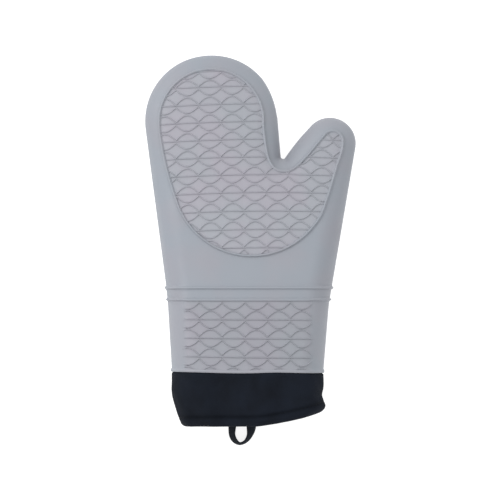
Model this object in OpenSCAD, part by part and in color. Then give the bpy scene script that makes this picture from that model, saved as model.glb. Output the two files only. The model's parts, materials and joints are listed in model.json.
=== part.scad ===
// Silicone oven mitt with a quilted liner, a fabric cuff and a hanging loop.
// It lies flat with its palm face up: X points to the thumb side, Y to the fingertips, Z up.
// All sizes are in millimetres and all angles in degrees.

/* [Hand outline] */
// Middle of the round fingertip end, across
finger_x = -33; // [-34:0.5:-32]
// Middle of the round fingertip end, along
finger_y = 109.5; // [108:0.5:111]
// Radius of the round fingertip end
finger_r = 56.1; // [54:0.1:57]
// Middle of the round thumb tip, across
thumb_x = 67.2; // [66:0.1:68]
// Middle of the round thumb tip, along
thumb_y = 91; // [88:0.5:94]
// Radius of the round thumb tip
thumb_r = 21.9; // [21:0.1:23]
// Bottom of the crotch between fingers and thumb, across
crotch_x = 27.7; // [27:0.1:29]
// Bottom of the crotch between fingers and thumb, along
crotch_y = 79; // [77:0.5:81]
// Radius inside the crotch
crotch_r = 1.2; // [1:0.1:2]

/* [Wrist and cuff outline] */
// Heel of the hand, where the patterned panel ends, along
palm_y = -26.5; // [-29:0.5:-24]
// Left edge at the heel of the hand
palm_left = -71.7; // [-74:0.1:-70]
// Right edge at the heel of the hand
palm_right = 69.8; // [68:0.1:72]
// Wrist, just under the second bead, along
wrist_y = -45.6; // [-48:0.1:-44]
// Left edge at the wrist
wrist_left = -69.7; // [-71:0.1:-68]
// Right edge at the wrist
wrist_right = 66.6; // [65:0.1:68]
// Rim of the silicone shell, along
rim_y = -103.9; // [-108:0.1:-100]
// Left edge at the rim
rim_left = -66.2; // [-68:0.1:-64]
// Right edge at the rim
rim_right = 61.7; // [60:0.1:64]
// Hem of the fabric cuff, along
hem_y = -149.5; // [-152:0.1:-146]
// Left edge at the hem
hem_left = -58; // [-61:0.5:-55]
// Right edge at the hem
hem_right = 61; // [58:0.5:63]

/* [Thickness] */
// Height of the shell at the fingertips
tip_h = 26; // [24:1:30]
// Height of the shell at the rim
rim_h = 56; // [50:1:58]
// Width of the rounded edge, seen from above
edge_w = 15; // [14:0.5:17]
// How far the beads and ribs stand proud
bead_h = 1.2; // [0.8:0.1:1.5]

/* [Layers] */
// Silicone shell thickness
shell_t = 1.6; // [1.4:0.1:2.4]
// Adhesive film between the rim and the cuff
bond_t = 0.3; // [0.2:0.1:0.5]
// Face fabric, cuff fabric and lining fabric thickness, each
fabric_t = 0.6; // [0.5:0.1:1]
// Batting thickness
batting_t = 3; // [2:0.5:4]
// Seam allowance thickness, all plies together
seam_t = 1.6; // [1.2:0.1:2]

/* [Ribs and beads] */
// Distance between the straight ribs of the patterned panel
rib_pitch = 15.1; // [14:0.1:16]
// Number of straight ribs in the patterned panel
rib_rows = 11; // [9:1:11]
// Highest straight rib of the patterned panel, along
rib_top_y = 153; // [150:0.5:153]
// Rib width
rib_w = 1.2; // [1:0.1:1.6]
// Radius of the patterned panel's lower end
panel_r = 67; // [65:0.5:70]
// Middle of the patterned panel's lower end, along
panel_y = 61.8; // [60:0.1:64]
// Distance between the straight ribs across the wrist
wrist_rib_pitch = 16; // [15:0.1:17]
// Number of straight ribs across the wrist
wrist_rows = 3; // [1:1:3]
// Upper wrist bead, along
bead_1_y = -32.3; // [-34:0.1:-30]
// Lower wrist bead, along
bead_2_y = -42.5; // [-44:0.1:-41]
// Wrist bead width
bead_w = 2.3; // [2:0.1:3]
// Rim bead width
rim_bead_w = 2.8; // [2:0.1:4]

/* [Cuff and stitching] */
// How far the cuff runs up under the shell's rim
cuff_tuck = 12; // [8:1:16]
// Distance of the hem stitching from the hem
hem_stitch = 7.6; // [6:0.1:10]
// Thread diameter
thread_d = 0.5; // [0.4:0.1:0.8]
// Distance between the quilting lines
quilt_pitch = 24; // [20:1:28]

/* [Hanging loop] */
// Middle of the loop, across
loop_x = -7.2; // [-12:0.1:0]
// Loop width over both legs
loop_w = 23.7; // [20:0.1:26]
// Width of the gap inside the loop
loop_gap = 9.6; // [8:0.1:11]
// How far the loop reaches past the hem
loop_reach = 16.1; // [14:0.1:18]
// Tape width at the bottom of the loop
loop_end_w = 4.6; // [4:0.1:6]
// Tape thickness
loop_t = 1.8; // [1.4:0.1:2.2]

/* [Fold lines] */
// Angle of the thumb's fold line, seen from above
thumb_fold_angle = -25; // [-30:1:-20]
// Gap between sections that bend against each other
fold_gap = 0.3; // [0.2:0.05:0.5]

/* [Hidden] */

// Colours
silicone = [0.60, 0.64, 0.68];
navy = [0.13, 0.15, 0.20];
dark_tape = [0.15, 0.16, 0.18];
white_batting = [0.93, 0.93, 0.90];
grey_fabric = [0.55, 0.57, 0.60];
thread_grey = [0.28, 0.30, 0.34];
clear_bond = [0.85, 0.85, 0.80];

// Depth of each layer's outer face below the outside of the shell
fabric_d = shell_t + bond_t;
batting_d = fabric_d + fabric_t;
lining_d = batting_d + batting_t;
cavity_d = lining_d + fabric_t;

// Steps along the curves
finger_steps = 18;
thumb_steps = 14;
crotch_steps = 3;
edge_steps = 4;

finger_c = [finger_x, finger_y];
thumb_c = [thumb_x, thumb_y];
crotch_c = [crotch_x, crotch_y];
tip_y = finger_y + finger_r;
join_y = rim_y + cuff_tuck;
hem_end_y = hem_y + fabric_t;
slope = (rim_h - tip_h) / (tip_y - rim_y);

// The back face lies on z = 0 and the palm face slopes evenly from the rim to the fingertips
function palm_z(y) = tip_h + slope * (tip_y - y);
function mid_z(y) = palm_z(y) / 2;
function polar(a) = [cos(a), sin(a)];

// Angle, on a circle round c, of the point where a line from p touches it
function touch_angle(p, c, r, side) =
    let (d = p - c)
    atan2(d.y, d.x) + side * acos(r / norm(d));

// Angle, on a circle round a, of the point where a line that crosses over to touch circle b leaves it
function cross_angle(a, ra, b, rb, side) =
    let (d = b - a)
    atan2(d.y, d.x) + side * acos((ra + rb) / norm(d));

thumb_from = touch_angle([palm_right, palm_y], thumb_c, thumb_r, 1);
thumb_to = cross_angle(thumb_c, thumb_r, crotch_c, crotch_r, -1) + 360;
finger_from = cross_angle(finger_c, finger_r, crotch_c, crotch_r, 1);
finger_to = touch_angle([palm_left, palm_y], finger_c, finger_r, -1) + 360;

// An outline is a list of [point, inward direction], anticlockwise seen from above.
// Along an arc, bend is 1 where the mitt is inside the circle and -1 where it is outside.
function arc(c, r, from, to, steps, bend) =
    [for (i = [0:steps])
        let (u = polar(from + (to - from) * i / steps))
        [c + r * u, -bend * u]];
finger_arc = arc(finger_c, finger_r, finger_from, finger_to, finger_steps, 1);
thumb_arc = arc(thumb_c, thumb_r, thumb_from, thumb_to, thumb_steps, 1);
crotch_arc = arc(crotch_c, crotch_r, thumb_to + 180, finger_from + 180, crotch_steps, -1);

// Fold lines: across the fingers just above the crotch, and across the thumb from the crotch
fold_y = crotch_y + 1;
fold_p = [crotch_x + 0.7, fold_y];
fold_u = polar(thumb_fold_angle);
fold_n = [-fold_u.y, fold_u.x];
half_gap = fold_gap / 2;

// The end of a cut through p along unit direction u, on the side line that touches a circle
// round c at angle a. Its inward direction runs along the cut and keeps offset lines parallel.
function cut_end(p, u, c, r, a) =
    let (n = -polar(a), t = (c - r * n - p) * n / (u * n))
    [p + t * u, u / (u * n)];
function finger_cut(g, a) = cut_end([0, fold_y + g], [1, 0], finger_c, finger_r, a);
function thumb_cut(g, a) = cut_end(fold_p + g * fold_n, fold_u, thumb_c, thumb_r, a);

fingers_outline = concat(
    [finger_cut(half_gap, finger_from)],
    finger_arc,
    [finger_cut(half_gap, finger_to)]
);
thumb_outline = concat(
    [thumb_cut(half_gap, thumb_from)],
    thumb_arc,
    [thumb_cut(half_gap, thumb_to)]
);

// Side lines of the wrist and cuff
right_line = [[hem_y, hem_right], [rim_y, rim_right], [wrist_y, wrist_right], [palm_y, palm_right]];
left_line = [[hem_y, hem_left], [rim_y, rim_left], [wrist_y, wrist_left], [palm_y, palm_left]];
side_levels = [hem_y, rim_y, join_y, wrist_y, palm_y];
function right_item(y) = [[lookup(y, right_line), y], [-1, 0]];
function left_item(y) = [[lookup(y, left_line), y], [1, 0]];
function levels_from(y) = concat([y], [for (l = side_levels) if (l > y) l]);

// The hand's outline starts at from_y on the right, rounds the crotch and ends on the left
function hand_outline(from_y) =
    let (levels = levels_from(from_y), n = len(levels))
    concat(
        [for (y = levels) right_item(y)],
        [thumb_cut(-half_gap, thumb_from), thumb_cut(-half_gap, thumb_to)],
        crotch_arc,
        [finger_cut(-half_gap, finger_from), finger_cut(-half_gap, finger_to)],
        [for (i = [n - 1:-1:0]) left_item(levels[i])]
    );
function outline_of(body, from_y) =
    body == "hand" ? hand_outline(from_y) : body == "thumb" ? thumb_outline : fingers_outline;

// Where an outline is cut open, as the index of the point before each cut
function cuts_of(body, from_y) =
    let (n = len(levels_from(from_y)), last = len(outline_of(body, from_y)) - 1)
    body == "hand" ? [n, n + 2 + len(crotch_arc), last] : [last];

// A point on the surface at depth d. Angle a goes from the edge (0) to the flat face (90) on
// the palm (side 1) or the back (side -1). A bead or rib has a negative depth: it fades out on
// the back face, and where edge is 0 it fades out towards the sides too.
function surface_point(item, d, a, side, edge = 1) =
    let (
        fade = side > 0 ? edge + (1 - edge) * sin(a) : edge * (1 - sin(a)),
        depth = d < 0 ? d * fade : d,
        q = item[0] + item[1] * (depth + (edge_w - depth) * (1 - cos(a))),
        mid = mid_z(q.y)
    )
    [q.x, q.y, mid + side * (mid - depth) * sin(a)];

// The point a height g off mid height, on the first facet
function off_mid(item, d, g, side) =
    let (
        p = surface_point(item, d, 0, side),
        q = surface_point(item, d, 90 / edge_steps, side)
    )
    p + g / abs(q.z - p.z) * (q - p);

// A column of points over one outline point. Kind "all" runs from the back face to the palm
// face, "palm" and "back" run from mid height to their face, and "seam" crosses mid height.
seam_clear = 0.02;
function column(item, d, kind, edge = 1) =
    let (side = kind == "back" ? -1 : 1, g = seam_t / 2)
    kind == "all"
        ? [for (k = [-edge_steps:edge_steps])
            surface_point(item, d, 90 * abs(k) / edge_steps, k < 0 ? -1 : 1, edge)]
    : kind == "seam"
        ? [off_mid(item, d, g, -1), surface_point(item, d, 0, 1), off_mid(item, d, g, 1)]
    : [off_mid(item, d, g + seam_clear, side),
        for (k = [1:edge_steps]) surface_point(item, d, 90 * k / edge_steps, side)];
function column_size(kind) =
    kind == "all" ? 2 * edge_steps + 1 : kind == "seam" ? 3 : edge_steps + 1;

function quad(a, b, c, d) = [[a, b, c], [a, c, d]];
function turned(faces) = [for (f = faces) [for (i = [len(f) - 1:-1:0]) f[i]]];
function level_face(n, m, k, from) = [for (i = [0:n - 1]) from + i * m + k];

// Faces that close a cut, between outer columns a and b and inner columns c and d
function cut_faces(a, b, c, d, m, low, high) =
    concat(
        [for (k = [0:m - 2]) each quad(a + k, a + k + 1, c + k + 1, c + k)],
        [for (k = [0:m - 2]) each quad(d + k, d + k + 1, b + k + 1, b + k)],
        high ? quad(a + m - 1, b + m - 1, d + m - 1, c + m - 1) : [],
        low ? quad(a, c, d, b) : []
    );

// A strip's quad between columns a and b, split so that both halves fold as the whole wall does
function strip_quad(a, b, k, back) =
    back ? quad(a + k + 1, b + k + 1, b + k, a + k) : quad(a + k, a + k + 1, b + k + 1, b + k);

// Faces between outer columns a and b and inner columns c and d, where the outline is closed
function side_faces(a, b, c, d, m, low, high, back) =
    concat(
        [for (k = [0:m - 2]) each strip_quad(a, b, k, back)],
        [for (k = [0:m - 2]) each turned(strip_quad(c, d, k, back))],
        high ? [] : quad(a + m - 1, c + m - 1, d + m - 1, b + m - 1),
        low ? [] : quad(a, b, d, c)
    );

// The wall between depths d0 and d1 of one body's section. mouth is a list of [depth, y, edge]
// that its lower end follows from the outer face to the inner one.
module wall(kind, body, d0, d1, from_y = 0, mouth = []) {
    items = outline_of(body, from_y);
    cuts = cuts_of(body, from_y);
    n = len(items);
    m = column_size(kind);
    s = n * m;
    high = kind != "seam";
    low = kind == "all";
    lips = len(mouth);
    points = concat(
        [for (d = [d0, d1], p = items) each column(p, d, kind)],
        [for (v = mouth, p = [left_item(v[1]), right_item(v[1])]) each column(p, v[0], kind, v[2])]
    );
    // First columns of each loop of the mouth, from the outer face to the inner one
    lefts = concat([s - m], [for (i = [0:1:lips - 1]) 2 * s + 2 * i * m], [2 * s - m]);
    rights = concat([0], [for (i = [0:1:lips - 1]) 2 * s + (2 * i + 1) * m], [s]);
    mouth_faces = [for (i = [0:lips])
        each cut_faces(lefts[i], rights[i], lefts[i + 1], rights[i + 1], m, low, high)];
    edge_faces = [for (i = [0:n - 1])
        let (a = i * m, b = ((i + 1) % n) * m)
        each len(search(i, cuts)) == 0
            ? side_faces(a, b, s + a, s + b, m, low, high, kind == "back")
            : i == n - 1 ? mouth_faces : cut_faces(a, b, s + a, s + b, m, low, high)];
    high_faces = high ? concat(turned([level_face(n, m, m - 1, 0)]), [level_face(n, m, m - 1, s)]) : [];
    low_faces = low ? concat([level_face(n, m, 0, 0)], turned([level_face(n, m, 0, s)])) : [];
    faces = concat(edge_faces, high_faces, low_faces);
    polyhedron(points, kind == "back" ? turned(faces) : faces);
}

// A profile of [depth, y] points swept over the palm or back half of the wrist, or all round it
module sweep(kind, profile) {
    m = column_size(kind);
    size = 2 * m;
    count = len(profile);
    points = [for (v = profile)
        let (up = column(right_item(v[1]), v[0], kind), down = column(left_item(v[1]), v[0], kind))
        each concat(up, [for (k = [m - 1:-1:0]) down[k]])];
    strips = [for (i = [0:count - 1], t = [0:(kind == "all" ? size - 1 : size - 2)])
        let (
            j = (i + 1) % count,
            u = (t + 1) % size,
            p = i * size,
            q = j * size
        )
        each (profile[i][1] < profile[j][1]) == (kind != "back")
            ? [[q + t, q + u, p + t], [q + u, p + u, p + t]]
            : [[q + t, q + u, p + u], [q + t, p + u, p + t]]];
    first = [for (i = [count - 1:-1:0]) i * size];
    last = [for (i = [0:count - 1]) i * size + size - 1];
    faces = kind == "all" ? strips : concat(strips, [first, last]);
    polyhedron(points, kind == "back" ? turned(faces) : faces);
}

// Lower end of the shell: ribs across the wrist, two wrist beads and the rim bead
bead_shoulder = 0.3;
function bead(y, w, edge) = [
    [0, y + w / 2, edge],
    [-bead_h, y + w / 2 - bead_shoulder, edge],
    [-bead_h, y - w / 2 + bead_shoulder, edge],
    [0, y - w / 2, edge]
];
shell_mouth = concat(
    bead(bead_1_y, bead_w, 1),
    bead(bead_2_y, bead_w, 1),
    [for (i = [1:wrist_rows]) each bead(bead_2_y - i * wrist_rib_pitch, rib_w, 0)],
    [[0, rim_y + rim_bead_w, 1], [-bead_h, rim_y + rim_bead_w - bead_shoulder, 1]],
    [[-bead_h, rim_y, 1], [shell_t, rim_y, 1], [shell_t, join_y, 1], [shell_t, wrist_y, 1]]
);

// Straight ribs on the flat of the palm face, sunk a little into the shell and ending short of
// the rounded edge
rib_sink = 0.5;
rib_end = 1;
tilt = atan(slope);
module palm_ribs(body) {
    items = outline_of(body, palm_y);
    stretch = 1 / cos(tilt);
    translate([0, 0, palm_z(0)])
        rotate([-tilt, 0, 0])
        translate([0, 0, -rib_sink])
        linear_extrude(height = bead_h + rib_sink)
        intersection() {
            polygon([for (p = items) let (q = p[0] + (edge_w + rib_end) * p[1]) [q.x, q.y * stretch]]);
            for (i = [0:rib_rows - 1]) {
                y = rib_top_y - i * rib_pitch;
                run = y > panel_y ? 2 * panel_r : sqrt(panel_r ^ 2 - (panel_y - y) ^ 2);
                translate([-run, (y - rib_w / 2) * stretch])
                    square([2 * run, rib_w]);
            }
        }
}

module shell(body) {
    color(silicone)
        union() {
            wall("all", body, 0, shell_t, palm_y, body == "hand" ? shell_mouth : []);
            palm_ribs(body);
        }
}

// Each half of the liner: kind is "palm" or "back"
module face_fabric(kind, body) {
    color(grey_fabric)
        wall(kind, body, fabric_d, batting_d, join_y);
}

module batting(kind, body) {
    color(white_batting)
        wall(kind, body, batting_d, lining_d, hem_end_y);
}

module lining(kind, body) {
    color(grey_fabric)
        wall(kind, body, lining_d, cavity_d, hem_end_y);
}

// The seam allowance between the two halves, round the edge at mid height
module side_seam(body) {
    color(thread_grey)
        wall("seam", body, fabric_d, cavity_d, hem_end_y);
}

// Adhesive film between the shell's rim and the cuff
bond_clear = 0.05;
bond_d = [shell_t + bond_clear, fabric_d - bond_clear];
module rim_bond() {
    color(clear_bond)
        sweep("all", [[bond_d[0], join_y], [bond_d[0], rim_y], [bond_d[1], rim_y], [bond_d[1], join_y]]);
}

// One panel of the cuff, with its hem turned in over the batting and the lining
stitch_y = hem_y + hem_stitch;
half_thread = thread_d / 2;
module cuff(kind) {
    color(navy)
        sweep(kind, [
            [fabric_d, join_y],
            [fabric_d, rim_y],
            [fabric_d, stitch_y + half_thread],
            [fabric_d, stitch_y - half_thread],
            [fabric_d, hem_y],
            [cavity_d, hem_y],
            [cavity_d, hem_end_y],
            [batting_d, hem_end_y],
            [batting_d, rim_y],
            [batting_d, join_y]
        ]);
}

// Thread of the hem's stitching, all round the cuff
module hem_thread() {
    color(thread_grey)
        sweep("all", [
            [fabric_d - half_thread, stitch_y + half_thread],
            [fabric_d - half_thread, stitch_y - half_thread],
            [fabric_d, stitch_y - half_thread],
            [fabric_d, stitch_y + half_thread]
        ]);
}

// One quilting line on the inside of the lining, along the mitt, on the palm (1) or back (-1)
module quilt_line(x, from_y, to_y, side) {
    lean = side > 0 ? -tilt : 0;
    translate([x - half_thread, from_y, side > 0 ? palm_z(from_y) - cavity_d : cavity_d])
        rotate([lean, 0, 0])
        translate([0, 0, side > 0 ? -half_thread : 0])
        cube([thread_d, (to_y - from_y) / cos(lean), half_thread]);
}

quilt_end = 8;
loop_ends_l = 10;
module quilting(side) {
    color(thread_grey)
        for (i = [-1:1]) {
            quilt_line(i * quilt_pitch, hem_y + loop_ends_l + fabric_t, fold_y - 2 * quilt_end, side);
        }
}

module finger_quilting() {
    color(thread_grey)
        for (i = [-2:0], side = [-1, 1]) {
            quilt_line(i * quilt_pitch - quilt_end, fold_y + quilt_end, finger_y, side);
        }
}

// Hanging loop: a flat tape in a U, which swings on its own softness at the hem
loop_z = cavity_d + loop_t / 2;
loop_pin_y = hem_y - fold_gap - loop_t / 2;
loop_bend = 13;
loop_steps = 12;
leg_w = (loop_w - loop_gap) / 2;
leg_x = (loop_w + loop_gap) / 4;
function half_ellipse(a, b) =
    [for (i = [0:loop_steps]) let (t = 180 + 180 * i / loop_steps) [a * cos(t), b * sin(t)]];

module hanging_loop() {
    bend_y = hem_y - loop_reach + loop_bend;
    leg_l = loop_pin_y - bend_y;
    color(dark_tape) {
        translate([loop_x, bend_y, loop_z - loop_t / 2])
            linear_extrude(height = loop_t)
            difference() {
                polygon(concat(
                    half_ellipse(loop_w / 2, loop_bend),
                    [[loop_w / 2, leg_l], [-loop_w / 2, leg_l]]
                ));
                polygon(concat(
                    half_ellipse(loop_gap / 2, loop_bend - loop_end_w),
                    [[loop_gap / 2, leg_l + 1], [-loop_gap / 2, leg_l + 1]]
                ));
            }
        for (s = [-1, 1]) {
            translate([loop_x + s * leg_x - leg_w / 2, loop_pin_y, loop_z])
                rotate([0, 90, 0])
                cylinder(h = leg_w, d = loop_t, $fn = 24);
        }
    }
}

// The sewn-in ends of the loop's tape, on the back half's lining inside the mouth
module loop_ends() {
    color(dark_tape)
        for (s = [-1, 1]) {
            translate([loop_x + s * leg_x - leg_w / 2, hem_y, cavity_d])
                cube([leg_w, loop_ends_l, loop_t]);
        }
}

// Two rows of thread across the tape ends
tack_rows = [3, 7];
module loop_bartack() {
    color(thread_grey)
        for (row = tack_rows) {
            translate([loop_x - loop_w / 2, hem_y + row, cavity_d + loop_t])
                cube([loop_w, 2 * thread_d, thread_d]);
        }
}

shell("hand");  // shell_hand
shell("fingers");  // shell_fingers
shell("thumb");  // shell_thumb
face_fabric("palm", "hand");  // palm_fabric_hand
batting("palm", "hand");  // palm_batting_hand
lining("palm", "hand");  // palm_lining_hand
face_fabric("palm", "fingers");  // palm_fabric_fingers
batting("palm", "fingers");  // palm_batting_fingers
lining("palm", "fingers");  // palm_lining_fingers
face_fabric("palm", "thumb");  // palm_fabric_thumb
batting("palm", "thumb");  // palm_batting_thumb
lining("palm", "thumb");  // palm_lining_thumb
face_fabric("back", "hand");  // back_fabric_hand
batting("back", "hand");  // back_batting_hand
lining("back", "hand");  // back_lining_hand
face_fabric("back", "fingers");  // back_fabric_fingers
batting("back", "fingers");  // back_batting_fingers
lining("back", "fingers");  // back_lining_fingers
face_fabric("back", "thumb");  // back_fabric_thumb
batting("back", "thumb");  // back_batting_thumb
lining("back", "thumb");  // back_lining_thumb
side_seam("hand");  // side_seam_hand
side_seam("fingers");  // side_seam_fingers
side_seam("thumb");  // side_seam_thumb
quilting(1);  // quilting_thread_palm
quilting(-1);  // quilting_thread_back
finger_quilting();  // quilting_thread_fingers
rim_bond();
cuff("palm");  // cuff_palm
cuff("back");  // cuff_back
hem_thread();
hanging_loop();
loop_ends();
loop_bartack();
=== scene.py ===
import json
import math

import bpy
import numpy as np
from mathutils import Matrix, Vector, kdtree
from mathutils.geometry import delaunay_2d_cdt


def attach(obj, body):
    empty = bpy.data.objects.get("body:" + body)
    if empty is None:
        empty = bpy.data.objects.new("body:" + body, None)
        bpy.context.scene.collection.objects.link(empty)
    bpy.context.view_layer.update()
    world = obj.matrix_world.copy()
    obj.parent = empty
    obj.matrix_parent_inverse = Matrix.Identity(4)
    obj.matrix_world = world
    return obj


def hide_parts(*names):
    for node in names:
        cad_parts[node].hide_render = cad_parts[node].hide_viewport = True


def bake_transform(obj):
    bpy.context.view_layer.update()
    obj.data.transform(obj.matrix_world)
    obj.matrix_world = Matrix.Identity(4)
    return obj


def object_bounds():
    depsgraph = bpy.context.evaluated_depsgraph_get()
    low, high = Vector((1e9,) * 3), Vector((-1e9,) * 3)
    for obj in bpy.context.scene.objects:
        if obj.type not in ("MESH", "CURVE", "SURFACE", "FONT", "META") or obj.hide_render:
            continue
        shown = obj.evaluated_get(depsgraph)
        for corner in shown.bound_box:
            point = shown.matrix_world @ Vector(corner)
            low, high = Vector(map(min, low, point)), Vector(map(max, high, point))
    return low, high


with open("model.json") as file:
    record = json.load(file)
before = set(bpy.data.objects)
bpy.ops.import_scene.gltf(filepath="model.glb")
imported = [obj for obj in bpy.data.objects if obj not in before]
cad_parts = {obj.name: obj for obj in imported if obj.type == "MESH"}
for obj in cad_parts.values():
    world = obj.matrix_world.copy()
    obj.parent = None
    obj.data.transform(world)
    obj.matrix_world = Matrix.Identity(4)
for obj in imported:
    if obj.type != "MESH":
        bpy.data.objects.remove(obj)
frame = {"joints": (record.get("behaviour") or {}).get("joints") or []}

CAD_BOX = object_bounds()
MM = 0.001

# ---------------- sizes, in millimetres
# Outline of the mitt, lying on its back with the fingertips towards +Y
FINGER_C, FINGER_R = np.array([-33.0, 109.5]), 56.1
THUMB_C, THUMB_R = np.array([67.5, 90.6]), 21.9
CROTCH_C, CROTCH_R = np.array([27.9, 79.6]), 2.1
# Where the finger circle is a little flat: from this angle, over this angle, by this much
FINGER_FLAT = (-2.0, 42.0, 0.7)
# The same at the fingertips: middle angle, spread, depth
TIP_FLAT = (93.0, 24.0, 0.35)
# How far the thumb's inner edge bows out between its tip and the crotch
THUMB_BULGE = 0.8
PALM_LEFT, PALM_RIGHT = np.array([-71.7, -26.5]), np.array([69.8, -26.5])
# Side lines from the wrist down, as (y, x). The shell ends at its rim and the cuff goes on.
LEFT_SIDE = ((-160, -63.0), (-103.9, -66.2), (-45.6, -69.7), (-26.5, -71.7))
RIGHT_SIDE = ((-160, 57.0), (-103.9, 61.8), (-45.6, 66.6), (-26.5, 69.8))
CUFF_LEFT = ((-160, -51.0), (-150, -56.4), (-147.6, -57.4), (-142.5, -59.5), (-132.3, -62.5),
             (-127.2, -64.3), (-122, -65.7), (-117, -66.3), (-107, -66.1), (-104, -66.1),
             (-99, -66.3))
CUFF_RIGHT = ((-150, 56.0), (-140.0, 59.3), (-136.0, 62.4), (-132.0, 63.2), (-127, 62.1),
              (-122.4, 60.4), (-117, 61.7), (-112.2, 61.8), (-107, 61.5), (-104, 61.6),
              (-99, 61.9))
# The hem's line, as (x, y)
HEM_LINE = ((-64, -148.4), (-58, -148.6), (-54, -148.7), (6, -148.5), (21.2, -146.4),
            (33, -144.1), (44.7, -141.3), (54, -138.6), (60, -136.4), (66, -133.2))
# The rim's line, as (x, y)
RIM_LINE = ((-80, -102.3), (-65, -102.7), (-51, -103.0), (-43, -103.2), (-30, -103.6),
            (-17, -103.9), (-4, -104.0), (8, -103.7), (21, -103.2), (34, -103.5), (47, -103.8),
            (55, -104.0), (61, -103.7), (80, -103.5))
TIP_Y = CAD_BOX[1].y / MM
RIM_Y = -103.9
CUFF_LENGTH = 45.0
RIM_H, TIP_H, HEM_H = 56.0, 26.0, 53.0
# The round of the edge: its width, and the two exponents of its curve
EDGE_W, EDGE_P, EDGE_Q = 20.0, 2.2, 2.0
# Share of the height that swells up towards the middle of the palm
PILLOW = 0.3
# The map of that swelling: grid step, rounds of solving and of evening, over-relaxation, and
# the depth at which it reaches 1 and the most it may be
SWELL_STEP, SWELL_ROUNDS, SWELL_EVEN, SWELL_PUSH = 3.0, 700, 3, 1.85
SWELL_DEPTH, SWELL_CAP = 66.0, 1.2
# Room under the back face for its ribs and beads
BACK_ROOM = 2.35

# Layers, as depths below the outside
SHELL_T = 1.6
LINER_OUT, LINER_IN = 2.1, 6.3
CUFF_IN = 1.9

# Ribs and beads, as (half width, height)
RIB = (0.62, 1.1)
PANEL_BEAD = (1.25, 2.0)
WRIST_BEAD = (1.5, 1.6)
RIM_BEAD = (1.8, 1.0)
# The scalloped ribs: where a cusp is across the mitt, how far apart they are, and the
# exponent of their curve
WAVE_X, WAVE_PITCH = -6.2, 18.98
WRIST_WAVE_X, WRIST_PITCH = -4.9, 19.25
WAVE_BLUNT = 0.95
# Where the two scallops lie between straight ribs: start and height, as shares of the row
UPPER_WAVE, LOWER_WAVE = (0.10, 0.345), (0.965, 0.39)
WRIST_UPPER, WRIST_LOWER = (0.09, 0.365), (0.91, 0.36)
# The cusps drift across by the last number, from the first height down over the second
WAVE_DRIFT = (75.0, 30.0, 0.65)
# The straight ribs, along Y. They arch down from where x is ROW_ARCH_X.
PANEL_ROWS = (152.6, 139.5, 124.5, 109.5, 94.4, 79.4, 64.4, 49.3, 33.6, 18.0, 2.6, -13.0)
ROW_ARCH, ROW_ARCH_X = 0.00035, 18.0
WRIST_ROWS = (-42.6, -58.5, -74.5, -90.5, -106.5)
# The wrist's rows slope and bend more and more over this length
WRIST_BEND_OVER, WRIST_SLOPE, WRIST_BEND = 61, -0.015, 0.00016
# Left and right end of the wrist's ribs, and how far they fade out there
WRIST_FIELD, WRIST_FADE = (-55.7, 51.9), 1.2
# How far the wrist's ribs end from the rim's bead and from the wrist's lower bead
RIB_TO_BEAD = (1.2, 0.2)
# Over what length the ribbed ground's colour fades out
GROUND_FADE = 2
# The two beads round the wrist, along Y, and the rim's bead, above the rim
BEAD_Y = (-31.6, -41.5)
RIM_BEAD_UP = 1.4


# ---------------- plane curves
def polar(c, r, degrees):
    a = np.radians(degrees)
    return np.stack([c[0] + r * np.cos(a), c[1] + r * np.sin(a)], -1)


def touch_angle(p, c, r, side):
    """Angle, on a circle round c, of the point where a line from p touches it. With both radii
    as r, it is where a line leaves that touches a circle round p from its other side."""
    d = p - c
    return math.degrees(math.atan2(d[1], d[0]) + side * math.acos(r / np.hypot(*d)))


def ramp(value, length):
    """0 up to 0, and from there evenly up to 1 over a length."""
    return np.clip(value / length, 0, 1)


def bell(value, width):
    return np.exp(-(value / width) ** 2)


def unit(vectors):
    return vectors / np.linalg.norm(vectors, axis=-1, keepdims=True)


def lengths(points):
    """Distance along a line of points, at each."""
    return np.concatenate([[0], np.cumsum(np.linalg.norm(np.diff(points, axis=0), axis=1))])


def resample(points, step):
    """The same line with points a step apart."""
    points = np.asarray(points, float)
    s = np.concatenate([[0], np.cumsum(np.hypot(*np.diff(points, axis=0).T))])
    t = np.linspace(0, s[-1], max(2, int(round(s[-1] / step)) + 1))
    return np.stack([np.interp(t, s, points[:, 0]), np.interp(t, s, points[:, 1])], 1)


def smooth(points, rounds, closed=False):
    """Evens out a line by averaging neighbours. An open line keeps its ends."""
    p = np.array(points, float)
    for _ in range(rounds):
        if closed:
            p = 0.5 * p + 0.25 * (np.roll(p, 1, 0) + np.roll(p, -1, 0))
        else:
            p[1:-1] = 0.5 * p[1:-1] + 0.25 * (p[2:] + p[:-2])
    return p


def normals_of(points, closed=False):
    """Unit normals on the left of a line."""
    if closed:
        t = np.roll(points, -1, 0) - np.roll(points, 1, 0)
    else:
        t = np.gradient(points, axis=0)
    t = t / np.hypot(*t.T)[:, None]
    return np.stack([-t[:, 1], t[:, 0]], 1)


def search_tree(points):
    tree = kdtree.KDTree(len(points))
    for i, (x, y) in enumerate(points):
        tree.insert((x, y, 0), i)
    tree.balance()
    return tree


class Field:
    """Signed distance from a line, positive on its left, and the line's normal there."""

    def __init__(self, points, closed=False, step=0.2):
        points = np.concatenate([points, points[:1]]) if closed else np.asarray(points)
        self.p = resample(points, step)
        self.n = normals_of(self.p[:-1] if closed else self.p, closed)
        self.p = self.p[:-1] if closed else self.p
        self.tree = search_tree(self.p)

    def __call__(self, xy):
        i = np.array([self.tree.find((x, y, 0))[1] for x, y in xy], int)
        return ((xy - self.p[i]) * self.n[i]).sum(1), self.n[i]


def side_line(table, y):
    ys, xs = np.array(table, float).T
    return np.interp(y, ys, xs)


def between(sides, y, inset=0.0):
    """The left and right side at y, moved in by inset."""
    return side_line(sides[0], y) + inset, side_line(sides[1], y) - inset


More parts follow.
